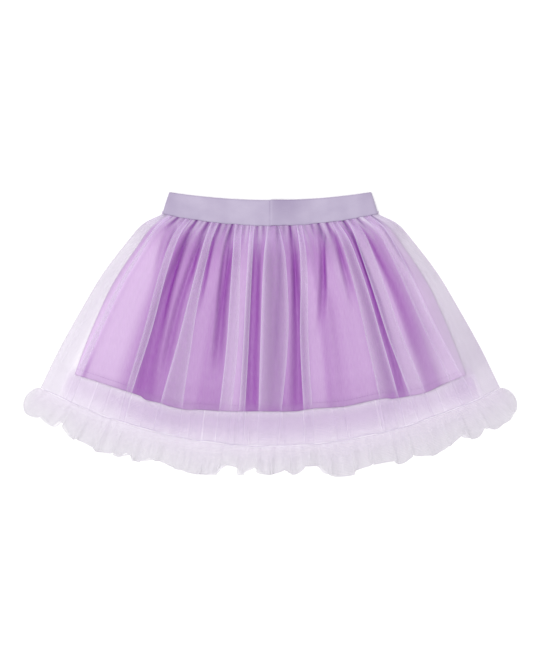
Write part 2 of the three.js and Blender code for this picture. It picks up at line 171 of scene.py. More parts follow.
# Knife pleats of the net: which side the edge of the top layer is on (lean 1 is the left), where the
# left edge lies across the skirt, and how many millimetres the pleat overlaps, at each of PLEAT_RUNS.
FRONT_PLEATS = [
    {"lean": 1, "left": [-0.93, -0.9, -0.89, -0.89], "overlap": [3, 3, 4, 7]},
    {"lean": -1, "left": [-0.78, -0.745, -0.68, -0.66], "overlap": [6, 7, 8, 6]},
    {"lean": 1, "left": [-0.545, -0.51, -0.49, -0.51], "overlap": [8, 8, 13, 28]},
    {"lean": 1, "left": [-0.325, -0.28, -0.238, -0.238], "overlap": [8, 9, 12, 14]},
    {"lean": 1, "left": [-0.185, -0.168, -0.148, -0.145], "overlap": [5, 5.5, 6, 7]},
    {"lean": 1, "left": [-0.03, -0.05, -0.054, -0.055], "overlap": [13, 24, 30, 22]},
    {"lean": 1, "left": [0.24, 0.22, 0.165, 0.152], "overlap": [6, 7, 9, 10]},
    {"lean": -1, "left": [0.56, 0.545, 0.515, 0.5], "overlap": [7, 10, 15, 22]},
    {"lean": 1, "left": [0.7, 0.65, 0.62, 0.645], "overlap": [8, 12, 14, 17]},
    {"lean": -1, "left": [0.865, 0.83, 0.8, 0.83], "overlap": [7, 9, 11, 14]},
]
BACK_PLEATS = [
    {"lean": 1, "left": [-0.82, -0.8, -0.79, -0.79], "overlap": [6, 8, 11, 15]},
    {"lean": 1, "left": [-0.64, -0.61, -0.58, -0.57], "overlap": [8, 9, 13, 20]},
    {"lean": -1, "left": [-0.42, -0.4, -0.37, -0.36], "overlap": [7, 9, 12, 14]},
    {"lean": 1, "left": [-0.24, -0.2, -0.17, -0.16], "overlap": [8, 9, 10, 16]},
    {"lean": 1, "left": [0.02, 0.03, 0.05, 0.06], "overlap": [7, 10, 16, 24]},
    {"lean": -1, "left": [0.24, 0.25, 0.28, 0.29], "overlap": [6, 8, 11, 13]},
    {"lean": 1, "left": [0.42, 0.44, 0.48, 0.49], "overlap": [8, 8, 12, 18]},
    {"lean": -1, "left": [0.64, 0.66, 0.69, 0.7], "overlap": [7, 8, 10, 15]},
    {"lean": -1, "left": [0.83, 0.82, 0.83, 0.84], "overlap": [6, 7, 9, 11]},
]

RUFFLE_REACH = {
    "across": [-1.0, -0.97, -0.92, -0.88, -0.855, -0.81, -0.75, -0.69, -0.64, -0.61, -0.58, -0.55,
               -0.49, -0.44, -0.37, -0.3, -0.22, -0.19, -0.15, -0.12, -0.075, -0.03, 0.02, 0.055,
               0.11, 0.145, 0.195, 0.225, 0.31, 0.37, 0.42, 0.49, 0.54, 0.58, 0.65, 0.72,
               0.78, 0.83, 0.86, 0.9, 0.95, 1.0],
    "reach": [26, 32, 29, 31, 24, 34, 34, 38, 34.5, 36, 31.5, 36,
              30.5, 30, 34, 35.5, 32, 23, 23.5, 31.5, 23.5, 29.5, 29.5, 26.5,
              30.5, 23.5, 23.5, 32.5, 38, 33, 31, 32.5, 37, 32, 38.5, 35,
              30.5, 37.5, 32.5, 37.5, 35, 27],
}
# Sharp notches between the lumps of its free edge: where each lies and how deep it cuts.
RUFFLE_NOTCHES = {
    "at": [-0.925, -0.862, -0.78, -0.725, -0.645, -0.583, -0.49, -0.445, -0.355, -0.285, -0.208, -0.14,
           -0.07, 0.052, 0.138, 0.205, 0.262, 0.355, 0.412, 0.5, 0.582, 0.63, 0.71, 0.78,
           0.86, 0.884, 0.925, 0.965],
    "cut": [1.5, 2.5, 2.2, 1.0, 1.6, 2.2, 1.8, 1.4, 1.4, 0.8, 2.0, 2.0,
            1.6, 1.4, 2.2, 2.0, 1.2, 1.2, 1.6, 1.2, 2.2, 1.0, 1.4, 2.4,
            2.2, 2.4, 1.4, 1.2],
}
FAN_TURN = math.radians(21)  # how much further out the ruffle turns at a side fold
FAN_POWER = 8
END_TURN = math.radians(44)  # and how much further still round its rounded end

# Curves shared by the pieces


def read(table, key, column, at):
    """A column of a table between its rows, on a curve that is smooth at each row."""
    keys = np.array(table[key], float)
    values = np.array(table[column], float)
    at = np.clip(np.asarray(at, float), keys[0], keys[-1])
    first = np.arange(len(keys)) - 1
    last = np.arange(len(keys)) + 1
    first[0], last[-1] = 0, len(keys) - 1
    slopes = (values[last] - values[first]) / (keys[last] - keys[first])
    end = np.clip(np.searchsorted(keys, at), 1, len(keys) - 1)
    step = keys[end] - keys[end - 1]
    t = (at - keys[end - 1]) / step
    bend = step * t * (1 - t) * (slopes[end - 1] * (1 - t) - slopes[end] * t)
    return values[end - 1] + (values[end] - values[end - 1]) * t * t * (3 - 2 * t) + bend


def mix(a, b, t):
    return a + (b - a) * t


def smooth(value, low, high):
    t = np.clip((value - low) / (high - low), 0, 1)
    return t * t * (3 - 2 * t)


def half_width(run):
    return read(OUTLINE, "run", "half_width", run)


def place(x, run, z):
    """Points on the skirt: seen from above, each run is a curve that is lowest at the middle."""
    middle_y = mix(WAIST_Y, HEM_Y, run)
    side_y = read(OUTLINE, "run", "side_y", run)
    side_y = side_y + np.minimum(run, 0) * (HEM_Y - WAIST_Y)
    y = middle_y + (side_y - middle_y) * (x / half_width(run)) ** 2
    return np.stack(np.broadcast_arrays(x, y, z), axis=-1)


def lining_side(run):
    return read(LINING_SIDE, "run", "share", run)


def lining_hem(across):
    drop = read(HEM_DROP, "across", "drop", across) / (WAIST_Y - HEM_Y)
    return LINING_HEM["middle"] + LINING_HEM["rise"] * across**2 + drop


def trough(away):
    """A crease's section: 1 at its bottom, 0 from one half width away, with even slopes between."""
    sharp = 0.4
    down = 1 - (np.sqrt(away**2 + sharp**2) - sharp) / (math.sqrt(1 + sharp**2) - sharp)
    return np.clip(down, 0, 1) ** 1.35


def flat_trough(away):
    """The shade in a crease: even over its middle, and soft at both sides."""
    return 1 - smooth(np.abs(away), 0.3, 1.0)


def creases(across, run, section=trough):
    """How deep the lining is creased here, from 0 to 1."""
    deepest = np.zeros(np.broadcast(across, run).shape)
    for crease in LINING_CREASES:
        centre = mix(*crease["at"], run)
        half = mix(*crease["half"], run)
        start, stop = crease["runs"]
        fade = smooth(run, start - 0.08, start + 0.06) * (1 - smooth(run, stop, stop + 0.25))
        depth = crease["depth"] * fade * section((across - centre) / half)
        deepest = 1 - (1 - deepest) * (1 - depth)
    return deepest


def painted_sheen_and_shade(across, run):
    """How light the satin's colour is painted, from 0, painted shade in its creases, to 1, painted highlight
    on its smoothest flats.
    """
    light = np.zeros(np.broadcast(across, run).shape)
    for flat in LINING_PAINTED_HIGHLIGHTS:
        away = (across - mix(*flat["at"], run)) / mix(*flat["half"], run)
        start, stop = flat["runs"]
        light = light + flat["light"] * flat_trough(away) * smooth(run, start - 0.12, start + 0.12)
    # painted shade: darker towards the waist seam, in the creases, and in the gathers and deep folds; the
    # waves are uneven tone
    light = 0.16 + 0.14 * smooth(run, 0.0, 0.3) + light + waves(across, run, 9, 6, 0.03)
    light = light * (1 - 0.78 * creases(across, run, flat_trough))
    return np.clip(light * (1 - 0.95 * gathers(across, run)), 0, 1)


def gathers(across, run, wide=1.0):
    """How deep the cloth is drawn in here, under the waistband and along the deep folds, from 0 to 1."""
    deepest = np.zeros(np.broadcast(across, run).shape)
    for at, deep, long in zip(WAIST_NOTCHES["at"], WAIST_NOTCHES["deep"], WAIST_NOTCHES["long"]):
        half = 0.012 * wide * (1 + 5 * np.clip(run, 0, 1))
        notch = np.exp(-(np.abs(across - at * (1 - 0.3 * run)) / half) ** 2)
        deepest = np.maximum(deepest, deep * notch * (1 - smooth(run, 0.15 * long, long)))
    for fold in DEEP_FOLDS:
        centre = read({"run": PLEAT_RUNS, "at": fold["at"]}, "run", "at", run)
        line = np.exp(-(((across - centre) / (0.011 * wide)) ** 2))
        fade = smooth(run, 0.02, 0.08) * (1 - smooth(run, 0.55 * fold["long"], fold["long"]))
        deepest = np.maximum(deepest, fold["deep"] * fade * line)
    return deepest


def ripples(across, run, seed, count, height, fade_run):
    """Puckers of gathered cloth: ridges of uneven width that start at the waist seam and fade down it."""
    drawn = np.random.RandomState(seed)
    centres = np.linspace(-1, 1, count) + drawn.uniform(-0.45, 0.45, count) / count
    total = np.zeros(np.broadcast(across, run).shape)
    for centre in centres:
        half = drawn.uniform(0.55, 1.15) / count
        drift = drawn.uniform(-0.06, 0.06)
        tall = drawn.uniform(0.45, 1.0) * height
        length = drawn.uniform(0.5, 1.5) * fade_run
        away = (across - centre - drift * run) / (half * (1 + 1.5 * np.clip(run, 0, 1)))
        ridge = np.where(np.abs(away) < 1, np.cos(np.clip(away, -1, 1) * math.pi / 2) ** 2, 0)
        total = total + tall * ridge * np.exp(-((np.clip(run, 0, None) / length) ** 1.5))
    return total


def waves(across, run, seed, count, height):
    """Long soft waves that run from the waist to the hem."""
    drawn = np.random.RandomState(seed)
    total = np.zeros(np.broadcast(across, run).shape)
    for _ in range(count):
        pitch = drawn.uniform(9, 40)
        phase = drawn.uniform(0, 2 * math.pi)
        drift = drawn.uniform(-1.2, 1.2)
        total = total + np.sin(pitch * across + phase + drift * run * 3) / math.sqrt(count)
    return height * total


def lining_loft(across, run):
    inside = np.clip(1 - np.abs(across / lining_side(run)) ** 10, 0, None)
    return LOFT * smooth(run, 0.0, 0.25) * inside * (1 - 0.5 * near_hem(across, run))


def near_hem(across, run):
    """0 over most of the lining, and 1 at its hem."""
    return smooth(run, lining_hem(across) - 0.14, lining_hem(across))


def settled(across, run):
    """How many millimetres lower both linings lie towards the hem and the side seams."""
    near_side = smooth(np.abs(across) / lining_side(run), 0.92, 1.0) * smooth(run, 0.05, 0.3)
    return SETTLED * np.maximum(near_hem(across, run), near_side)


def lining_height(across, run):
    """The front lining: plateaus with creases between them, puckered where it is sewn to the elastic."""
    tucked = 1.3 * (1 - smooth(run, -TUCK, 0.03))
    pucker = ripples(across, run, 11, 30, 1.3, 0.12)
    soft = waves(across, run, 5, 6, 0.22) * smooth(run, 0.05, 0.3)
    folded = lining_loft(across, run) * (1 - creases(across, run))
    from_side = (1 - np.abs(across) / lining_side(run)) / 0.035
    edge = np.clip(np.minimum(from_side, (lining_hem(across) - run) / 0.045), 0, 1)
    high = FRONT_LINING - tucked + pucker + soft + folded - 1.2 * gathers(across, run)
    return mix(BACK_LINING + 0.45, high, np.sin(edge * math.pi / 2)) - settled(across, run)


def net_height(across, run):
    """The front net: over the lining's plateaus, lower past its hem, and down at the side folds."""
    tucked = 2.3 * (1 - smooth(run, -TUCK, 0.02))
    sag = 0.35 * lining_loft(across, run) * creases(across, run)
    raised = FRONT_LINING + NET_CLEAR - tucked + lining_loft(across, run) - sag
    inner = mix(raised, HEM_NET, smooth(run, lining_hem(across) - 0.02, 1.0))
    side_fall = (1 - lining_side(run)) * 0.95
    inward = np.clip((1 - np.abs(across)) / side_fall, 0, 1)
    return mix(BACK_NET + 0.25, inner, np.sin(inward * math.pi / 2))


def beside_hem(x, out, z, reach):
    """Points of the ruffle: out from the hem seam, and turned further out at the side folds."""
    wide = half_width(1.0)
    across = x / wide
    corner_y = read(OUTLINE, "run", "side_y", 1.0)
    slope = 2 * (corner_y - HEM_Y) * across / wide
    end = smooth(np.abs(across), 0.975, 1.0)
    angle = np.arctan(slope) + np.sign(x) * (FAN_TURN * np.abs(across) ** FAN_POWER + END_TURN * end)
    seam_y = HEM_Y + (corner_y - HEM_Y) * across**2
    far = GAP + out * reach * (1 - 0.86 * end**1.4)
    return np.stack(np.broadcast_arrays(x + np.sin(angle) * far, seam_y - np.cos(angle) * far, z), axis=-1)


# Making a sheet of cloth


def cloth(name, points, facing_up=True, attributes=None, closed=False):
    """A sheet from an array of places in millimetres: rows from its top edge down, columns from the left."""
    rows, columns = points.shape[0] - 1, points.shape[1] - 1
    shape = bmesh.new()
    bmesh.ops.create_grid(shape, x_segments=columns, y_segments=rows, size=1.0)
    mesh = bpy.data.meshes.new(name)
    shape.to_mesh(mesh)
    shape.free()
    flat = np.empty(len(mesh.vertices) * 3)
    mesh.vertices.foreach_get("co", flat)
    flat = flat.reshape(-1, 3)
    column = np.rint((flat[:, 0] + 1) / 2 * columns).astype(int)
    row = np.rint((1 - flat[:, 1]) / 2 * rows).astype(int)
    places = (points[row, column] + ORIGIN) * MM
    mesh.vertices.foreach_set("co", places.ravel())
    for key, values in (attributes or {}).items():
        drawn = values[row, column]
        kind = "FLOAT" if drawn.ndim == 1 else "FLOAT_VECTOR"
        layer = mesh.attributes.new(key, kind, "POINT")
        layer.data.foreach_set("value" if drawn.ndim == 1 else "vector", drawn.ravel())
    if closed or not facing_up:
        shape = bmesh.new()
        shape.from_mesh(mesh)
        if closed:
            bmesh.ops.remove_doubles(shape, verts=shape.verts, dist=1e-6)
            bmesh.ops.recalc_face_normals(shape, faces=shape.faces)
        else:
            bmesh.ops.reverse_faces(shape, faces=shape.faces)
        shape.to_mesh(mesh)
        shape.free()
    mesh.polygons.foreach_set("use_smooth", [True] * len(mesh.polygons))
    mesh.update()
    piece = bpy.data.objects.new(name, mesh)
    bpy.context.scene.collection.objects.link(piece)
    return piece


def lengths(points, axis):
    """Length along the cloth up to each point, in metres, which the weave is laid out by."""
    steps = np.linalg.norm(np.diff(points, axis=axis), axis=-1) * MM
    start = np.zeros_like(np.take(steps, [0], axis=axis))
    return np.cumsum(np.concatenate([start, steps], axis=axis), axis=axis)


def weave(points):
    """The place of each point on the flat cloth, in metres."""
    across = lengths(points, 1)
    across = across - across[:, across.shape[1] // 2, None]
    down = lengths(points, 0)
    return np.stack([across, down, np.zeros_like(down)], axis=-1)


def thicken(piece, thickness):
    """A wall of that many millimetres, half of it on each side of the sheet."""
    wall = piece.modifiers.new("wall", "SOLIDIFY")
    wall.thickness = thickness * MM
    wall.offset = 0.0


# Net panels


def pleat_sides(pleat, run):
    """Where a pleat's left and right folds lie along each run, in millimetres."""
    table = {"run": PLEAT_RUNS, "left": pleat["left"], "overlap": pleat["overlap"]}
    left = read(table, "run", "left", run) * half_width(run)
    return left, left + read(table, "run", "overlap", run)


def net_knots(pleats, run):
    """The folds of each run of a net panel, as knots: x, lift, corner radius, samples after it, fold."""
    side = half_width(run)
    slope = mix(3.5, 5.5, np.clip(run, 0, 1))
    flat = np.zeros_like(run)
    knots = [(-side, flat, 0.0, 0, False)]
    for pleat in pleats:
        left, right = pleat_sides(pleat, run)
        shoulder = right + SHOULDER
        path = [
            (right, 0.0, FOLD_RADIUS, 2, True),
            (right, LAYER, FOLD_RADIUS, 7, False),
            (left, LAYER, FOLD_RADIUS, 2, True),
            (left, 2 * LAYER, FOLD_RADIUS, 9, True),
            (shoulder, 2 * LAYER, SHOULDER_RADIUS, 5, False),
            (shoulder + slope, 0.0, SHOULDER_RADIUS, 0, False),
        ]
        if pleat["lean"] < 0:
            counts = [5, 9, 2, 7, 2, 0]
            path = [(left + right - x, lift, radius, count, fold)
                    for (x, lift, radius, _, fold), count in zip(reversed(path), counts)]
        knots += [(x, lift + flat, radius, count, fold) for x, lift, radius, count, fold in path]
    knots.append((side, flat, 0.0, 0, False))
    return knots


def net_section(pleats, run, flat_samples, corner_samples=3):
    """Each run's line across a panel, its folds rounded: x, lift, how far the nearest fold is, and where
    the net lies in three layers."""
    knots = net_knots(pleats, run)
    spots = np.stack([np.stack([x * np.ones_like(run), lift], axis=-1) for x, lift, *_ in knots], axis=1)
    radii = np.array([knot[2] for knot in knots])
    steps = np.diff(spots, axis=1)
    spans = np.linalg.norm(steps, axis=-1)
    ways = steps / spans[..., None]
    line = []
    folds = []
    for k in range(len(knots) - 1):
        start_cut = min_cut(radii[k], spans, k - 1, k)
        stop_cut = min_cut(radii[k + 1], spans, k, k + 1)
        start = spots[:, k] + ways[:, k] * start_cut[:, None]
        stop = spots[:, k + 1] - ways[:, k] * stop_cut[:, None]
        samples = knots[k][3] or flat_samples
        for i in range(samples + 1):
            line.append(start + (stop - start) * (i / samples))
        if k + 1 < len(knots) - 1:
            after = spots[:, k + 1] + ways[:, k + 1] * stop_cut[:, None]
            for i in range(1, corner_samples):
                t = i / corner_samples
                line.append(stop * (1 - t) ** 2 + spots[:, k + 1] * 2 * t * (1 - t) + after * t**2)
            if knots[k + 1][4]:
                folds.append(len(line) - 1)
    line = np.stack(line, axis=1)
    steps = np.linalg.norm(np.diff(line, axis=1), axis=-1)
    along = np.concatenate([np.zeros((len(run), 1)), np.cumsum(steps, axis=1)], axis=1)
    away = np.min([np.abs(along - along[:, [k]]) for k in folds], axis=0)
    layered = np.zeros(along.shape)
    for pleat in pleats:
        left, right = [fold[:, None] for fold in pleat_sides(pleat, run)]
        from_left = smooth(line[..., 0], left - 0.6, left + 0.2)
        layered = np.maximum(layered, from_left * smooth(line[..., 0], right + 0.6, right - 0.2))
    return line[..., 0], line[..., 1], away, layered


def min_cut(radius, spans, before, after):
    """How far a rounded corner reaches along the spans on both sides of it."""
    room = np.full(len(spans), radius)
    for span in (before, after):
        if 0 <= span < spans.shape[1]:
            room = np.minimum(room, 0.45 * spans[:, span])
    return room


def net_look(across, down, layered, away, drawn_in, seed, facing_up):
    """How close the net is at each point, and its painted highlight, its pinker painted shade and its painted
    shade in the gathers there.
    """
    hem = lining_hem(across)
    past_hem = smooth(down, hem - 0.05, hem + 0.04)
    past_side = smooth(np.abs(across), 0.9, 0.94)
    streaks = waves(across * 5, down * 0.6, seed + 3, 10, 0.012)
    streaks = (streaks + waves(across * 2, down, seed + 4, 6, 0.014)) * (1 - 0.5 * past_hem)
    # closer where it is gathered
    puffs = 1 - gathers(across, down, 1.8) if facing_up else 0.5 * inner_part(across)
    tucks = (ripples(across, down, seed + 6, 36, 1.0, 0.24) - 0.3) * (1 - smooth(down, 0.2, 0.55))
    gathered = 0.2 * (1 - smooth(down, 0.0, 0.2)) + 0.2 * tucks
    gathered = gathered + 0.2 * puffs * np.exp(-np.clip(down, 0, 1) / 0.035)
    # closer below the lining's hem and outside its side seams
    middle = 1 - smooth(np.abs(across), 0.5, 0.85)
    below = (0.17 + 0.14 * middle) * past_hem * (1 - past_side) * (1 - 0.35 * smooth(down, hem + 0.05, 1.0))
    beside = past_side * (0.17 + 0.1 * (1 - smooth(down, 0.1, 0.8)))
    single = NET_CLOSENESS + gathered + np.maximum(below, beside)
    # and closer over the right side of the lining
    single = single + 0.36 * smooth(across, 0.72, 0.91) * (1 - 0.65 * np.maximum(past_hem, past_side))
    single = single + 0.12 * smooth(across, 0.55, 0.72) * smooth(down, 0.45, 0.75) * (1 - past_hem)
    single = np.clip(single, 0.05, 0.8)
    # past the hem the three layers of a pleat together look as close as one
    threefold = mix(NET_CLOSENESS + 0.02, 1 - (1 - single) ** (1 / 3), past_hem)
    edge = np.exp(-away / 1.3) * (1 - 0.55 * past_hem) * (1 if facing_up else 0.4)
    closeness = mix(single, threefold, layered) + streaks * (1 - 0.5 * layered) + 0.2 * edge
    closeness = closeness * (1 + 0.4 * drawn_in)
    # painted highlight: along the pleats' folds, and on the ridges of the puckers and gathers near the waist
    painted_highlight = 0.8 * edge + 0.65 * puffs * (1 - smooth(down, 0.015, 0.16)) + 0.2 * np.clip(tucks, 0, 1)
    # painted shade in a pinker tone: just below the lining's hem, fading towards the ruffle, and outside the
    # lining's side seams near the waist
    pink_painted_shade = past_hem * (1 - 0.75 * smooth(down, hem + 0.04, 1.06)) * (1 - past_side)
    pink_painted_shade = np.maximum(pink_painted_shade, 0.5 * past_side * (1 - smooth(down, 0.0, 0.25)))
    # shade is painted shade, in the gathers under the waistband and along the deep folds
    return {"closeness": np.clip(closeness, 0.05, 0.9), "painted_highlight": np.clip(painted_highlight, 0, 1), "pink_painted_shade": pink_painted_shade,
            "shade": drawn_in}


def inner_part(across):
    """1 over most of a net panel, and 0 at its side seams, which its puckers don't reach."""
    return np.clip((1 - np.abs(across)) / 0.05, 0, 1)


def net_panel(name, pleats, rows, flat_samples, seed, height, facing_up):
    """A flared panel of net, its top edge gathered into the waistband."""
    run = -TUCK + (1 + TUCK) * np.linspace(0, 1, rows + 1) ** 1.25
    x, lift, away, layered = net_section(pleats, run, flat_samples)
    down = run[:, None] * np.ones_like(x)
    across = x / half_width(down)
    uneven = ripples(across, down, seed, 30, 2.0, 0.12) + ripples(across, down, seed + 1, 16, 0.7, 0.35)
    uneven = uneven + waves(across, down, seed + 2, 7, 0.28) * smooth(down, 0.05, 0.3)
    drawn_in = gathers(across, down) if facing_up else np.zeros_like(down)
    pressed = 0.3 + 0.7 * smooth(down, 0.0, 0.05)
    freed = inner_part(across) * (0.15 + 0.85 * smooth(down, -0.002, 0.03))
    z = height(across, down) + lift * pressed + (uneven - 1.4 * drawn_in) * freed
    points = place(x, down, np.clip(z, 0.05, None))
    look = net_look(across, down, layered, away, drawn_in, seed, facing_up)
    return cloth(name, points, facing_up, {**look, "cloth": weave(points)})


def back_net_height(across, run):
    return BACK_NET + 1.6 * (1 - smooth(run, -TUCK, 0.03))


front_net = net_panel("front_net", FRONT_PLEATS, rows=96, flat_samples=32, seed=21,
                      height=net_height, facing_up=True)
back_net = net_panel("back_net", BACK_PLEATS, rows=60, flat_samples=24, seed=41,
                     height=back_net_height, facing_up=False)


# Lining panels


def lining_panel(name, columns, rows, height, facing_up):
    """A satin panel between its side seams, with a turned hem of its own."""
    along = np.linspace(-1, 1, columns + 1)[None, :]
    hem = lining_hem(along)
    drawn = np.linspace(0, 1, rows + 1)[:, None]
    run = -TUCK + (hem + TUCK) * drawn
    across = along * lining_side(run)
    z = height(across, run)
    points = place(across * half_width(run), run, z)
    from_edge = (hem - run) * (WAIST_Y - HEM_Y)
    turned = smooth(from_edge, LINING_HEM_TURN + 0.5, LINING_HEM_TURN - 0.2)
    points[..., 2] += SATIN_WALL * turned * (1 if facing_up else -1)
    piece = cloth(name, points, facing_up, {"cloth": weave(points), "painted_sheen_and_shade": painted_sheen_and_shade(across, run)})
    thicken(piece, SATIN_WALL)
    return piece, points


def back_lining_height(across, run):
    tucked = 1.6 * (1 - smooth(run, -TUCK, 0.06))
    return BACK_LINING - tucked + waves(across, run, 8, 6, 0.12) - settled(across, run)


front_lining, front_lining_points = lining_panel(
    "front_lining", columns=330, rows=130, height=lining_height, facing_up=True)
back_lining, back_lining_points = lining_panel(
    "back_lining", columns=160, rows=60, height=back_lining_height, facing_up=False)


# Ruffle strips


def notches(across):
    """How deep the free edge is cut between its lumps."""
    cut = np.zeros_like(across)
    for at, deep in zip(RUFFLE_NOTCHES["at"], RUFFLE_NOTCHES["cut"]):
        cut = np.maximum(cut, deep * np.exp(-np.abs(across - at) / 0.008))
    return cut


def ruffle(name, seed, flutes, columns, rows, height, lean, phase, base, facing_up):
    """A strip gathered onto the hem seam; its flutes grow towards its free edge, and their sides lean in."""
    across = np.linspace(-1, 1, columns + 1)[None, :]
    out = np.linspace(0, 1, rows + 1)[:, None]
    uneven = 0.012 * np.sin(9 * across + phase) + 0.006 * np.sin(31 * across + 2 * phase)
    turn = phase + math.pi * flutes * (across + uneven)
    size = 0.75 + 0.25 * np.sin(7 * across + phase)
    inside = 1 - across**10
    tall = height * size * inside * mix(0.08, 1, out)
    flute = tall * (0.5 + 0.5 * np.sin(turn + 0.7 * out * np.sin(23 * across)))
    small = inside * (0.5 * out * np.sin(2.7 * turn + 1.3) + 0.2 * (1 - out) * np.sin(5.3 * turn))
    shift = (lean * out * np.cos(turn) + 0.4 * out * np.cos(2.7 * turn)) * inside
    x = across * half_width(1.0) + shift
    reach = read(RUFFLE_REACH, "across", "reach", across) + 0.8 - notches(across)
    z = np.clip(base(across, out) + flute + small * (0.2 + 0.8 * out), 0.05, None)
    points = beside_hem(x, out, z, reach)
    steep = np.abs(np.cos(turn)) ** 3 * 0.06 * out
    seam = -0.08 * (1 - smooth(out, 0.0, 0.5))
    fine = waves(across * 6, out * 0.4, seed + 5, 12, 0.015)
    rim = 0.12 * np.exp(-(1 - out) * 30 / 1.2)
    closeness = np.clip(RUFFLE_CLOSENESS + 0.04 * across + steep + seam + fine + rim, 0.1, 0.95)
    # painted shade in a pinker tone next to the hem seam, fading out towards the free edge
    pink_painted_shade = 0.55 * (1 - out) ** 1.5 + 0 * across
    return cloth(name, points, facing_up, {"closeness": closeness, "pink_painted_shade": pink_painted_shade, "cloth": weave(points)})


def front_ruffle_base(across, out):
    return net_height(across, 1.0) + 0.3 + 1.3 * out


def back_ruffle_base(across, out):
    return BACK_NET + 0 * out * across


front_ruffle = ruffle("front_ruffle", seed=61, flutes=25, columns=1000, rows=30, height=7.5,
                      lean=2.4, phase=0.4, base=front_ruffle_base, facing_up=True)
back_ruffle = ruffle("back_ruffle", seed=71, flutes=23, columns=800, rows=20, height=3.2,
                     lean=1.8, phase=2.1, base=back_ruffle_base, facing_up=False)


# Waistband


def waistband_points(around, rows):
    """The flattened loop of elastic, round from the middle of its back."""
    down = np.linspace(0, 1, rows + 1)[:, None]
    turn = np.linspace(0, 1, around + 1)[None, :]
    outer = read(BAND, "down", "half_width", down)
    front_z = read(BAND, "down", "front_z", down)
    back_z = BAND_WALL / 2
    radius = (front_z - back_z) / 2
    straight = outer - BAND_WALL / 2 - radius
    lap = 4 * straight + 2 * math.pi * radius
    far = turn * lap
    quarter = math.pi * radius
    x = np.zeros_like(far)
    z = np.zeros_like(far)
    # back wall from the middle to the left, left turn, front wall, right turn, back wall to the middle
    on_back = far <= straight
    x = np.where(on_back, -far, x)
    z = np.where(on_back, back_z + 0 * far, z)
    bend = (far - straight) / radius
    on_left = (far > straight) & (far <= straight + quarter)
    x = np.where(on_left, -straight - radius * np.sin(bend), x)
    z = np.where(on_left, back_z + radius * (1 - np.cos(bend)), z)
    travel = far - straight - quarter
    on_front = (travel > 0) & (travel <= 2 * straight)
    x = np.where(on_front, -straight + travel, x)
    z = np.where(on_front, front_z + 0 * far, z)
    bend = (travel - 2 * straight) / radius
    on_right = (bend > 0) & (bend <= math.pi)
    x = np.where(on_right, straight + radius * np.sin(bend), x)
    z = np.where(on_right, back_z + radius * (1 + np.cos(bend)), z)
    rest = travel - 2 * straight - quarter
    on_rest = rest > 0
    x = np.where(on_rest, straight - rest, x)
    z = np.where(on_rest, back_z + 0 * far, z)
    front = np.where(on_front, 1.0, 0.0)
    shade = np.clip((straight - np.abs(x)) / 8, 0, 1) * front
    # the ends of the elastic meet at the middle of the front, the right one on top
    step = 0.6 * smooth(x, -0.4, 0.8) * (1 - smooth(x, 7, 26))
    groove = -0.5 * np.exp(-((x + 0.6) / 1.2) ** 2)
    pull = ripples(x / 117, 1 - down + 0 * x, 31, 26, 0.5, 0.22) - 0.18
    soft = 0.3 * np.sin(x / 13 + 2 * down) + 0.14 * np.sin(x / 5.7 + 1 + down)
    z = z + shade * (step + groove + pull * smooth(down, 0.5, 1.0) + soft)
    side_y = read(BAND, "down", "side_y", down)
    middle_y = read(BAND, "down", "middle_y", down)
    y = middle_y + (side_y - middle_y) * (x / outer) ** 2
    scallop = 0.2 * np.sin(x * 2 * math.pi / 15.3 + 1.9 * np.sin(x / 17)) + 0.2 * np.sin(x / 7.1)
    y = y + scallop * smooth(down, 0.86, 1.0) * shade
    jog = 0.5 * smooth(x, 0.0, 1.0) * (1 - smooth(x, 4, 30)) * shade
    y = y + jog * (1 - smooth(down, 0.05, 0.2))
    return np.stack(np.broadcast_arrays(x, y, z), axis=-1)


def band_painted_shade(points):
    """How much shade is painted into the elastic's colour: along its rims, where it is pulled in beside the
    join, towards its turned sides and along the join itself; the waves are uneven tone.
    """
    x = points[..., 0]
    down = np.linspace(0, 1, points.shape[0])[:, None]
    rims = 0.4 * smooth(down, 0.07, 0.0) + 0.3 * smooth(down, 0.93, 1.0)
    pulled = 0.55 * np.exp(-((x - 17) / 22) ** 2) * smooth(x, 0.5, 3) * (1 - 0.6 * down)
    far_side = 0.25 * smooth(np.abs(x), 85, 112)
    join = 0.6 * np.exp(-((x + 0.3) / 0.7) ** 2) * (1 - 0.6 * smooth(down, 0.2, 0.9))
    return np.clip(rims + pulled + far_side + join + waves(x / 117, down, 33, 6, 0.08), 0, 1)


def waistband():
    points = waistband_points(around=620, rows=26)
    attributes = {"cloth": weave(points), "shade": band_painted_shade(points)}
    piece = cloth("elastic_band", points, True, attributes, closed=True)
    thicken(piece, BAND_WALL)
    edge = piece.modifiers.new("soft_edge", "BEVEL")
    edge.width = 0.5 * MM
    edge.segments = 2
    edge.limit_method = "ANGLE"
    edge.angle_limit = math.radians(50)
    return piece


elastic_band = waistband()


# Stitches


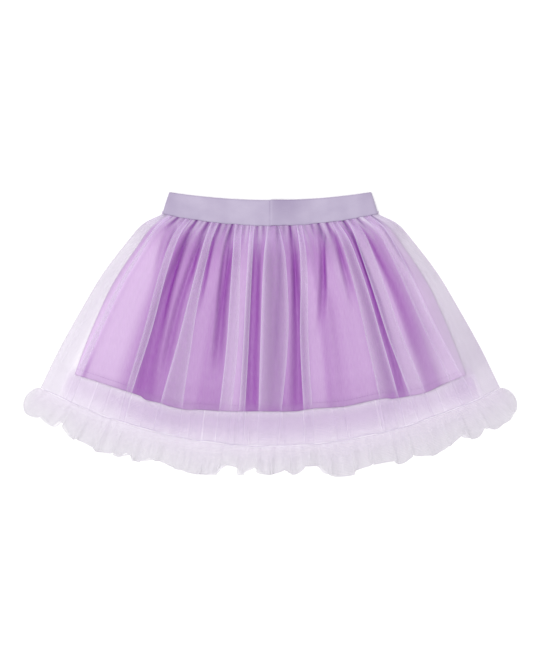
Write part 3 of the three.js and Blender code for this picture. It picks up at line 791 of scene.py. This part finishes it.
def stitches(name, line, long, thick, spacing):
    """Thread that goes along a line in millimetres, as one bead for each stitch."""
    gaps = np.linalg.norm(np.diff(line, axis=0), axis=1)
    far = np.concatenate([[0], np.cumsum(gaps)])
    count = int(far[-1] / spacing)
    at = (np.arange(count) + 0.5) * spacing
    middles = np.stack([np.interp(at, far, line[:, k]) for k in range(3)], axis=1)
    ahead = np.stack([np.interp(at + long / 2, far, line[:, k]) for k in range(3)], axis=1)
    shape = bmesh.new()
    for middle, tip in zip(middles, ahead):
        way = Vector(tip - middle).normalized()
        turn = way.to_track_quat("X", "Z").to_matrix().to_4x4()
        made = bmesh.ops.create_uvsphere(shape, u_segments=6, v_segments=4, radius=0.5)
        bmesh.ops.scale(shape, vec=(long * MM, thick * MM, thick * MM), verts=made["verts"])
        bmesh.ops.transform(shape, matrix=turn, verts=made["verts"])
        bmesh.ops.translate(shape, vec=Vector((middle + ORIGIN) * MM), verts=made["verts"])
    mesh = bpy.data.meshes.new(name)
    shape.to_mesh(mesh)
    shape.free()
    mesh.polygons.foreach_set("use_smooth", [True] * len(mesh.polygons))
    piece = bpy.data.objects.new(name, mesh)
    bpy.context.scene.collection.objects.link(piece)
    return piece


def hem_seam(name, height, lift):
    """The stitches that hold a ruffle to its net panel; they wander, and sink out of sight in places."""
    x = np.linspace(-0.985, 0.985, 400) * half_width(1.0)
    across = x / half_width(1.0)
    wander = 0.8 * np.sin(x / 13) + 0.5 * np.sin(x / 5.3 + 1)
    hidden = smooth(np.sin(x / 37 + 0.8) + 0.5 * across, -0.3, 0.3)
    line = place(x, 1.0 + 0 * x, height(across) + lift * (1 - 2 * hidden))
    line[:, 1] += wander
    return stitches(name, line, long=3.0, thick=0.45, spacing=3.1)


def lining_stitch(name, points, lift):
    """The stitches at the top of the lining's turned hem."""
    middle = points.shape[1] // 2
    row_step = np.linalg.norm(points[-1, middle] - points[-2, middle])
    line = points[-1 - int(round(LINING_HEM_TURN / row_step))].copy()
    line[:, 2] += lift
    return stitches(name, line, long=2.4, thick=0.4, spacing=2.9)


front_hem_thread = hem_seam("front_hem_thread", lambda across: net_height(across, 1.0), 0.75)
back_hem_thread = hem_seam("back_hem_thread", lambda across: BACK_NET + 0 * across, -0.2)
front_lining_thread = lining_stitch("front_lining_thread", front_lining_points, 0.35)
back_lining_thread = lining_stitch("back_lining_thread", back_lining_points, -0.4)


# Materials


def colour(hex_value):
    """An sRGB hex colour as the linear one that a shader takes."""
    parts = [int(hex_value[i:i + 2], 16) / 255 for i in (1, 3, 5)]
    return [p / 12.92 if p <= 0.04045 else ((p + 0.055) / 1.055) ** 2.4 for p in parts] + [1.0]


def node(tree, kind, inputs=None, **settings):
    """Adds a node with its settings; an input is a value or the socket that is linked to it."""
    made = tree.nodes.new(kind)
    for key, value in settings.items():
        setattr(made, key, value)
    for key, value in (inputs or {}).items():
        if isinstance(value, bpy.types.NodeSocket):
            tree.links.new(value, made.inputs[key])
        else:
            made.inputs[key].default_value = value
    return made


def new_material(name):
    material = bpy.data.materials.new(name)
    material.use_nodes = True
    material.node_tree.nodes.clear()
    return material, material.node_tree


def finish_material(tree, shader):
    node(tree, "ShaderNodeOutputMaterial", {"Surface": shader.outputs["BSDF"]})


def tinted(tree, factor, dark, light):
    """A colour between two, by a factor from 0 to 1."""
    mixed = node(tree, "ShaderNodeMix", data_type="RGBA")
    for end, tone in ((6, dark), (7, light)):
        if isinstance(tone, str):
            mixed.inputs[end].default_value = colour(tone)
        else:
            tree.links.new(tone, mixed.inputs[end])
    tree.links.new(factor, mixed.inputs[0])
    return mixed.outputs[2]


def satin_lining():
    """Polyester satin, woven with long floats: soft highlights of its own gloss on its flats, with broader
    painted highlight on them, and painted shade for the deep colour on its slopes and in its creases."""
    material, tree = new_material("woven_satin")
    cloth_place = node(tree, "ShaderNodeAttribute", attribute_name="cloth").outputs["Vector"]
    stretch = node(tree, "ShaderNodeMapping", {"Vector": cloth_place, "Scale": (900, 120, 1)})
    floats = node(tree, "ShaderNodeTexNoise", {"Vector": stretch.outputs[0], "Scale": 1.0, "Detail": 3.0})
    # painted highlight on the flats and painted shade in the creases and gathers, which the base colour is
    # mixed by
    flats = node(tree, "ShaderNodeAttribute", attribute_name="painted_sheen_and_shade").outputs["Fac"]
    uneven = node(tree, "ShaderNodeMapRange", {"Value": floats.outputs[0], "From Min": 0.3, "From Max": 0.7,
                  "To Min": -0.05, "To Max": 0.05})
    shade = node(tree, "ShaderNodeMath", {0: flats, 1: uneven.outputs[0]}, operation="ADD", use_clamp=True)
    bump = node(tree, "ShaderNodeBump", {"Height": floats.outputs[0], "Strength": 0.12, "Distance": 0.0004})
    shader = node(tree, "ShaderNodeBsdfPrincipled", {
        "Base Color": tinted(tree, shade.outputs[0], "#8E30A3", "#DFC4E7"),
        "Roughness": 0.5, "Specular IOR Level": 0.4, "IOR": 1.5,
        "Sheen Weight": 0.15, "Sheen Roughness": 0.4, "Sheen Tint": colour("#E6C8F0"),
        "Normal": bump.outputs[0],
    })
    finish_material(tree, shader)
    return material


def net_material(name, dark, light, cell):
    """Soft polyester tulle, knitted: one fine yarn round small cells, so it is mostly open."""
    material, tree = new_material(name)
    cloth_place = node(tree, "ShaderNodeAttribute", attribute_name="cloth").outputs["Vector"]
    density = node(tree, "ShaderNodeAttribute", attribute_name="closeness").outputs["Fac"]
    # Real cells are about 1 mm wide; they are drawn at cell mm so that they show.
    cells = node(tree, "ShaderNodeTexVoronoi", {"Vector": cloth_place, "Scale": 1 / (cell * MM),
                 "Randomness": 0.35}, feature="DISTANCE_TO_EDGE")
    yarn = node(tree, "ShaderNodeMapRange", {"Value": cells.outputs["Distance"], "From Min": 0.0,
                "From Max": 0.22, "To Min": 1.2, "To Max": 0.9}, interpolation_type="SMOOTHSTEP")
    alpha = node(tree, "ShaderNodeMath", {0: density, 1: yarn.outputs[0]}, operation="MULTIPLY")
    clouds = node(tree, "ShaderNodeTexNoise", {"Vector": cloth_place, "Scale": 30.0, "Detail": 2.0})
    pink_painted_shade = node(tree, "ShaderNodeAttribute", attribute_name="pink_painted_shade").outputs["Fac"]
    painted_highlight = node(tree, "ShaderNodeAttribute", attribute_name="painted_highlight").outputs["Fac"]
    plain = tinted(tree, clouds.outputs[0], dark, light)
    shade = node(tree, "ShaderNodeAttribute", attribute_name="shade").outputs["Fac"]
    # painted shade in a pinker tone
    with_pink_shade = tinted(tree, pink_painted_shade, plain, "#B49CC0")
    # painted shade in the gathers and deep folds
    with_gather_shade = tinted(tree, shade, with_pink_shade, "#6E5886")
    # painted highlight lightens the net's colour towards #E9DFF4
    shader = node(tree, "ShaderNodeBsdfPrincipled", {
        "Base Color": tinted(tree, painted_highlight, with_gather_shade, "#E9DFF4"),
        "Roughness": 0.6, "Specular IOR Level": 0.2, "Sheen Weight": 0.1,
        "Sheen Roughness": 0.4, "Alpha": alpha.outputs[0],
    })
    finish_material(tree, shader)
    return material


def elastic():
    """Woven elastic with a soft knitted face: matt, with fine ribs across it."""
    material, tree = new_material("woven_elastic")
    cloth_place = node(tree, "ShaderNodeAttribute", attribute_name="cloth").outputs["Vector"]
    ribs = node(tree, "ShaderNodeTexWave", {"Vector": cloth_place, "Scale": 150.0, "Distortion": 0.6,
                "Detail": 1.0}, bands_direction="Y")
    stretch = node(tree, "ShaderNodeMapping", {"Vector": cloth_place, "Scale": (30, 45, 1)})
    clouds = node(tree, "ShaderNodeTexNoise", {"Vector": stretch.outputs[0], "Scale": 1.0, "Detail": 3.0})
    shade = node(tree, "ShaderNodeAttribute", attribute_name="shade").outputs["Fac"]
    bump = node(tree, "ShaderNodeBump", {"Height": ribs.outputs["Fac"], "Strength": 0.25, "Distance": 0.0003})
    # painted shade darkens the elastic towards #9484A6
    shader = node(tree, "ShaderNodeBsdfPrincipled", {
        "Base Color": tinted(tree, shade, tinted(tree, clouds.outputs[0], "#A79BB7", "#C5BBD1"), "#9484A6"),
        "Roughness": 0.85, "Specular IOR Level": 0.25,
        "Sheen Weight": 0.2, "Sheen Roughness": 0.5, "Normal": bump.outputs[0],
    })
    finish_material(tree, shader)
    return material


def thread(name, tone):
    """Spun polyester sewing thread, twisted and a little fuzzy."""
    material, tree = new_material(name)
    twist = node(tree, "ShaderNodeTexWave", {"Vector": node(tree, "ShaderNodeTexCoord").outputs["Object"],
                 "Scale": 500.0, "Distortion": 1.0}, bands_direction="DIAGONAL")
    bump = node(tree, "ShaderNodeBump", {"Height": twist.outputs["Fac"], "Strength": 0.2, "Distance": 0.0002})
    shader = node(tree, "ShaderNodeBsdfPrincipled", {
        "Base Color": tinted(tree, twist.outputs["Fac"], tone[0], tone[1]),
        "Roughness": 0.6, "Specular IOR Level": 0.4, "Normal": bump.outputs[0],
    })
    finish_material(tree, shader)
    return material


satin = satin_lining()
# The nets' grey colours are darker than their yarn: they hold painted shade for the shadow the net casts in
# life, which it casts none of here.
net = net_material("knitted_tulle", "#BCB1C4", "#C8BFCE", 1.7)
ruffle_net = net_material("knitted_ruffle_tulle", "#BEB8C4", "#CAC5CD", 1.7)
band_cloth = elastic()
net_thread = thread("lilac_thread", ("#C3B9CF", "#D2C9DC"))
satin_thread = thread("violet_thread", ("#8F55A0", "#A86BB8"))

# What each piece is

PIECES = [
    (elastic_band, band_cloth, "elastic", "waistband"),
    (front_lining, satin, "satin", "lining_front"),
    (back_lining, satin, "satin", "lining_back"),
    (front_net, net, "net", "tulle_front"),
    (back_net, net, "net", "tulle_back"),
    (front_ruffle, ruffle_net, "ruffle_net", "ruffle_front"),
    (back_ruffle, ruffle_net, "ruffle_net", "ruffle_back"),
    (front_hem_thread, net_thread, "ruffle_net", None),
    (back_hem_thread, net_thread, "ruffle_net", None),
    (front_lining_thread, satin_thread, "satin", None),
    (back_lining_thread, satin_thread, "satin", None),
]
for piece, material, slot, solid in PIECES:
    # the net is so open that the light comes through it, and its thread is as fine; the shade the net would
    # cast is painted into its colours instead
    piece.visible_shadow = material not in (net, ruffle_net, net_thread)
    piece.data.materials.append(material)
    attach(piece, "root")
    if solid:
        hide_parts(solid)

# Surface, light and camera


def surface():
    shape = bmesh.new()
    bmesh.ops.create_grid(shape, x_segments=1, y_segments=1, size=6.0)
    mesh = bpy.data.meshes.new("table_top")
    shape.to_mesh(mesh)
    shape.free()
    top = bpy.data.objects.new("table_top", mesh)
    bpy.context.scene.collection.objects.link(top)
    material, tree = new_material("white_table")
    grain = node(tree, "ShaderNodeTexNoise", {"Scale": 60.0})
    shader = node(tree, "ShaderNodeBsdfPrincipled", {
        "Base Color": tinted(tree, grain.outputs[0], "#FCFCFC", "#FFFFFF"), "Roughness": 0.9,
        "Specular IOR Level": 0.1,
    })
    finish_material(tree, shader)
    mesh.materials.append(material)


def soft_light():
    light = bpy.data.lights.new("softbox", "AREA")
    light.shape = "SQUARE"
    light.size = 2.3
    light.energy = 53
    box = bpy.data.objects.new("softbox", light)
    box.location = (-0.45, 0.2, 2.7)
    box.rotation_euler = (Vector((0, 0, 0)) - Vector(box.location)).to_track_quat("-Z", "Y").to_euler()
    bpy.context.scene.collection.objects.link(box)
    world = bpy.data.worlds.new("room")
    world.use_nodes = True
    world.node_tree.nodes["Background"].inputs["Color"].default_value = (1, 1, 1, 1)
    world.node_tree.nodes["Background"].inputs["Strength"].default_value = 0.6
    bpy.context.scene.world = world


def camera():
    height = 2.2  # metres above the front lining
    seen = 0.715  # metres from the top of the picture to its bottom, at that lining's height
    lens = bpy.data.cameras.new("camera")
    lens.sensor_fit = "VERTICAL"
    lens.sensor_height = 36
    lens.lens = 36 * height / seen
    eye = bpy.data.objects.new("camera", lens)
    aim_x, aim_y = -0.3, 2.43  # what lies in the middle of the picture, in the skirt's millimetres
    eye.location = ((ORIGIN[0] + aim_x) * MM, (ORIGIN[1] + aim_y) * MM, height + FRONT_LINING * MM)
    bpy.context.scene.collection.objects.link(eye)
    bpy.context.scene.camera = eye


surface()
soft_light()
camera()
bpy.context.scene.view_settings.view_transform = "Standard"
bpy.context.scene.cycles.transparent_max_bounces = 32
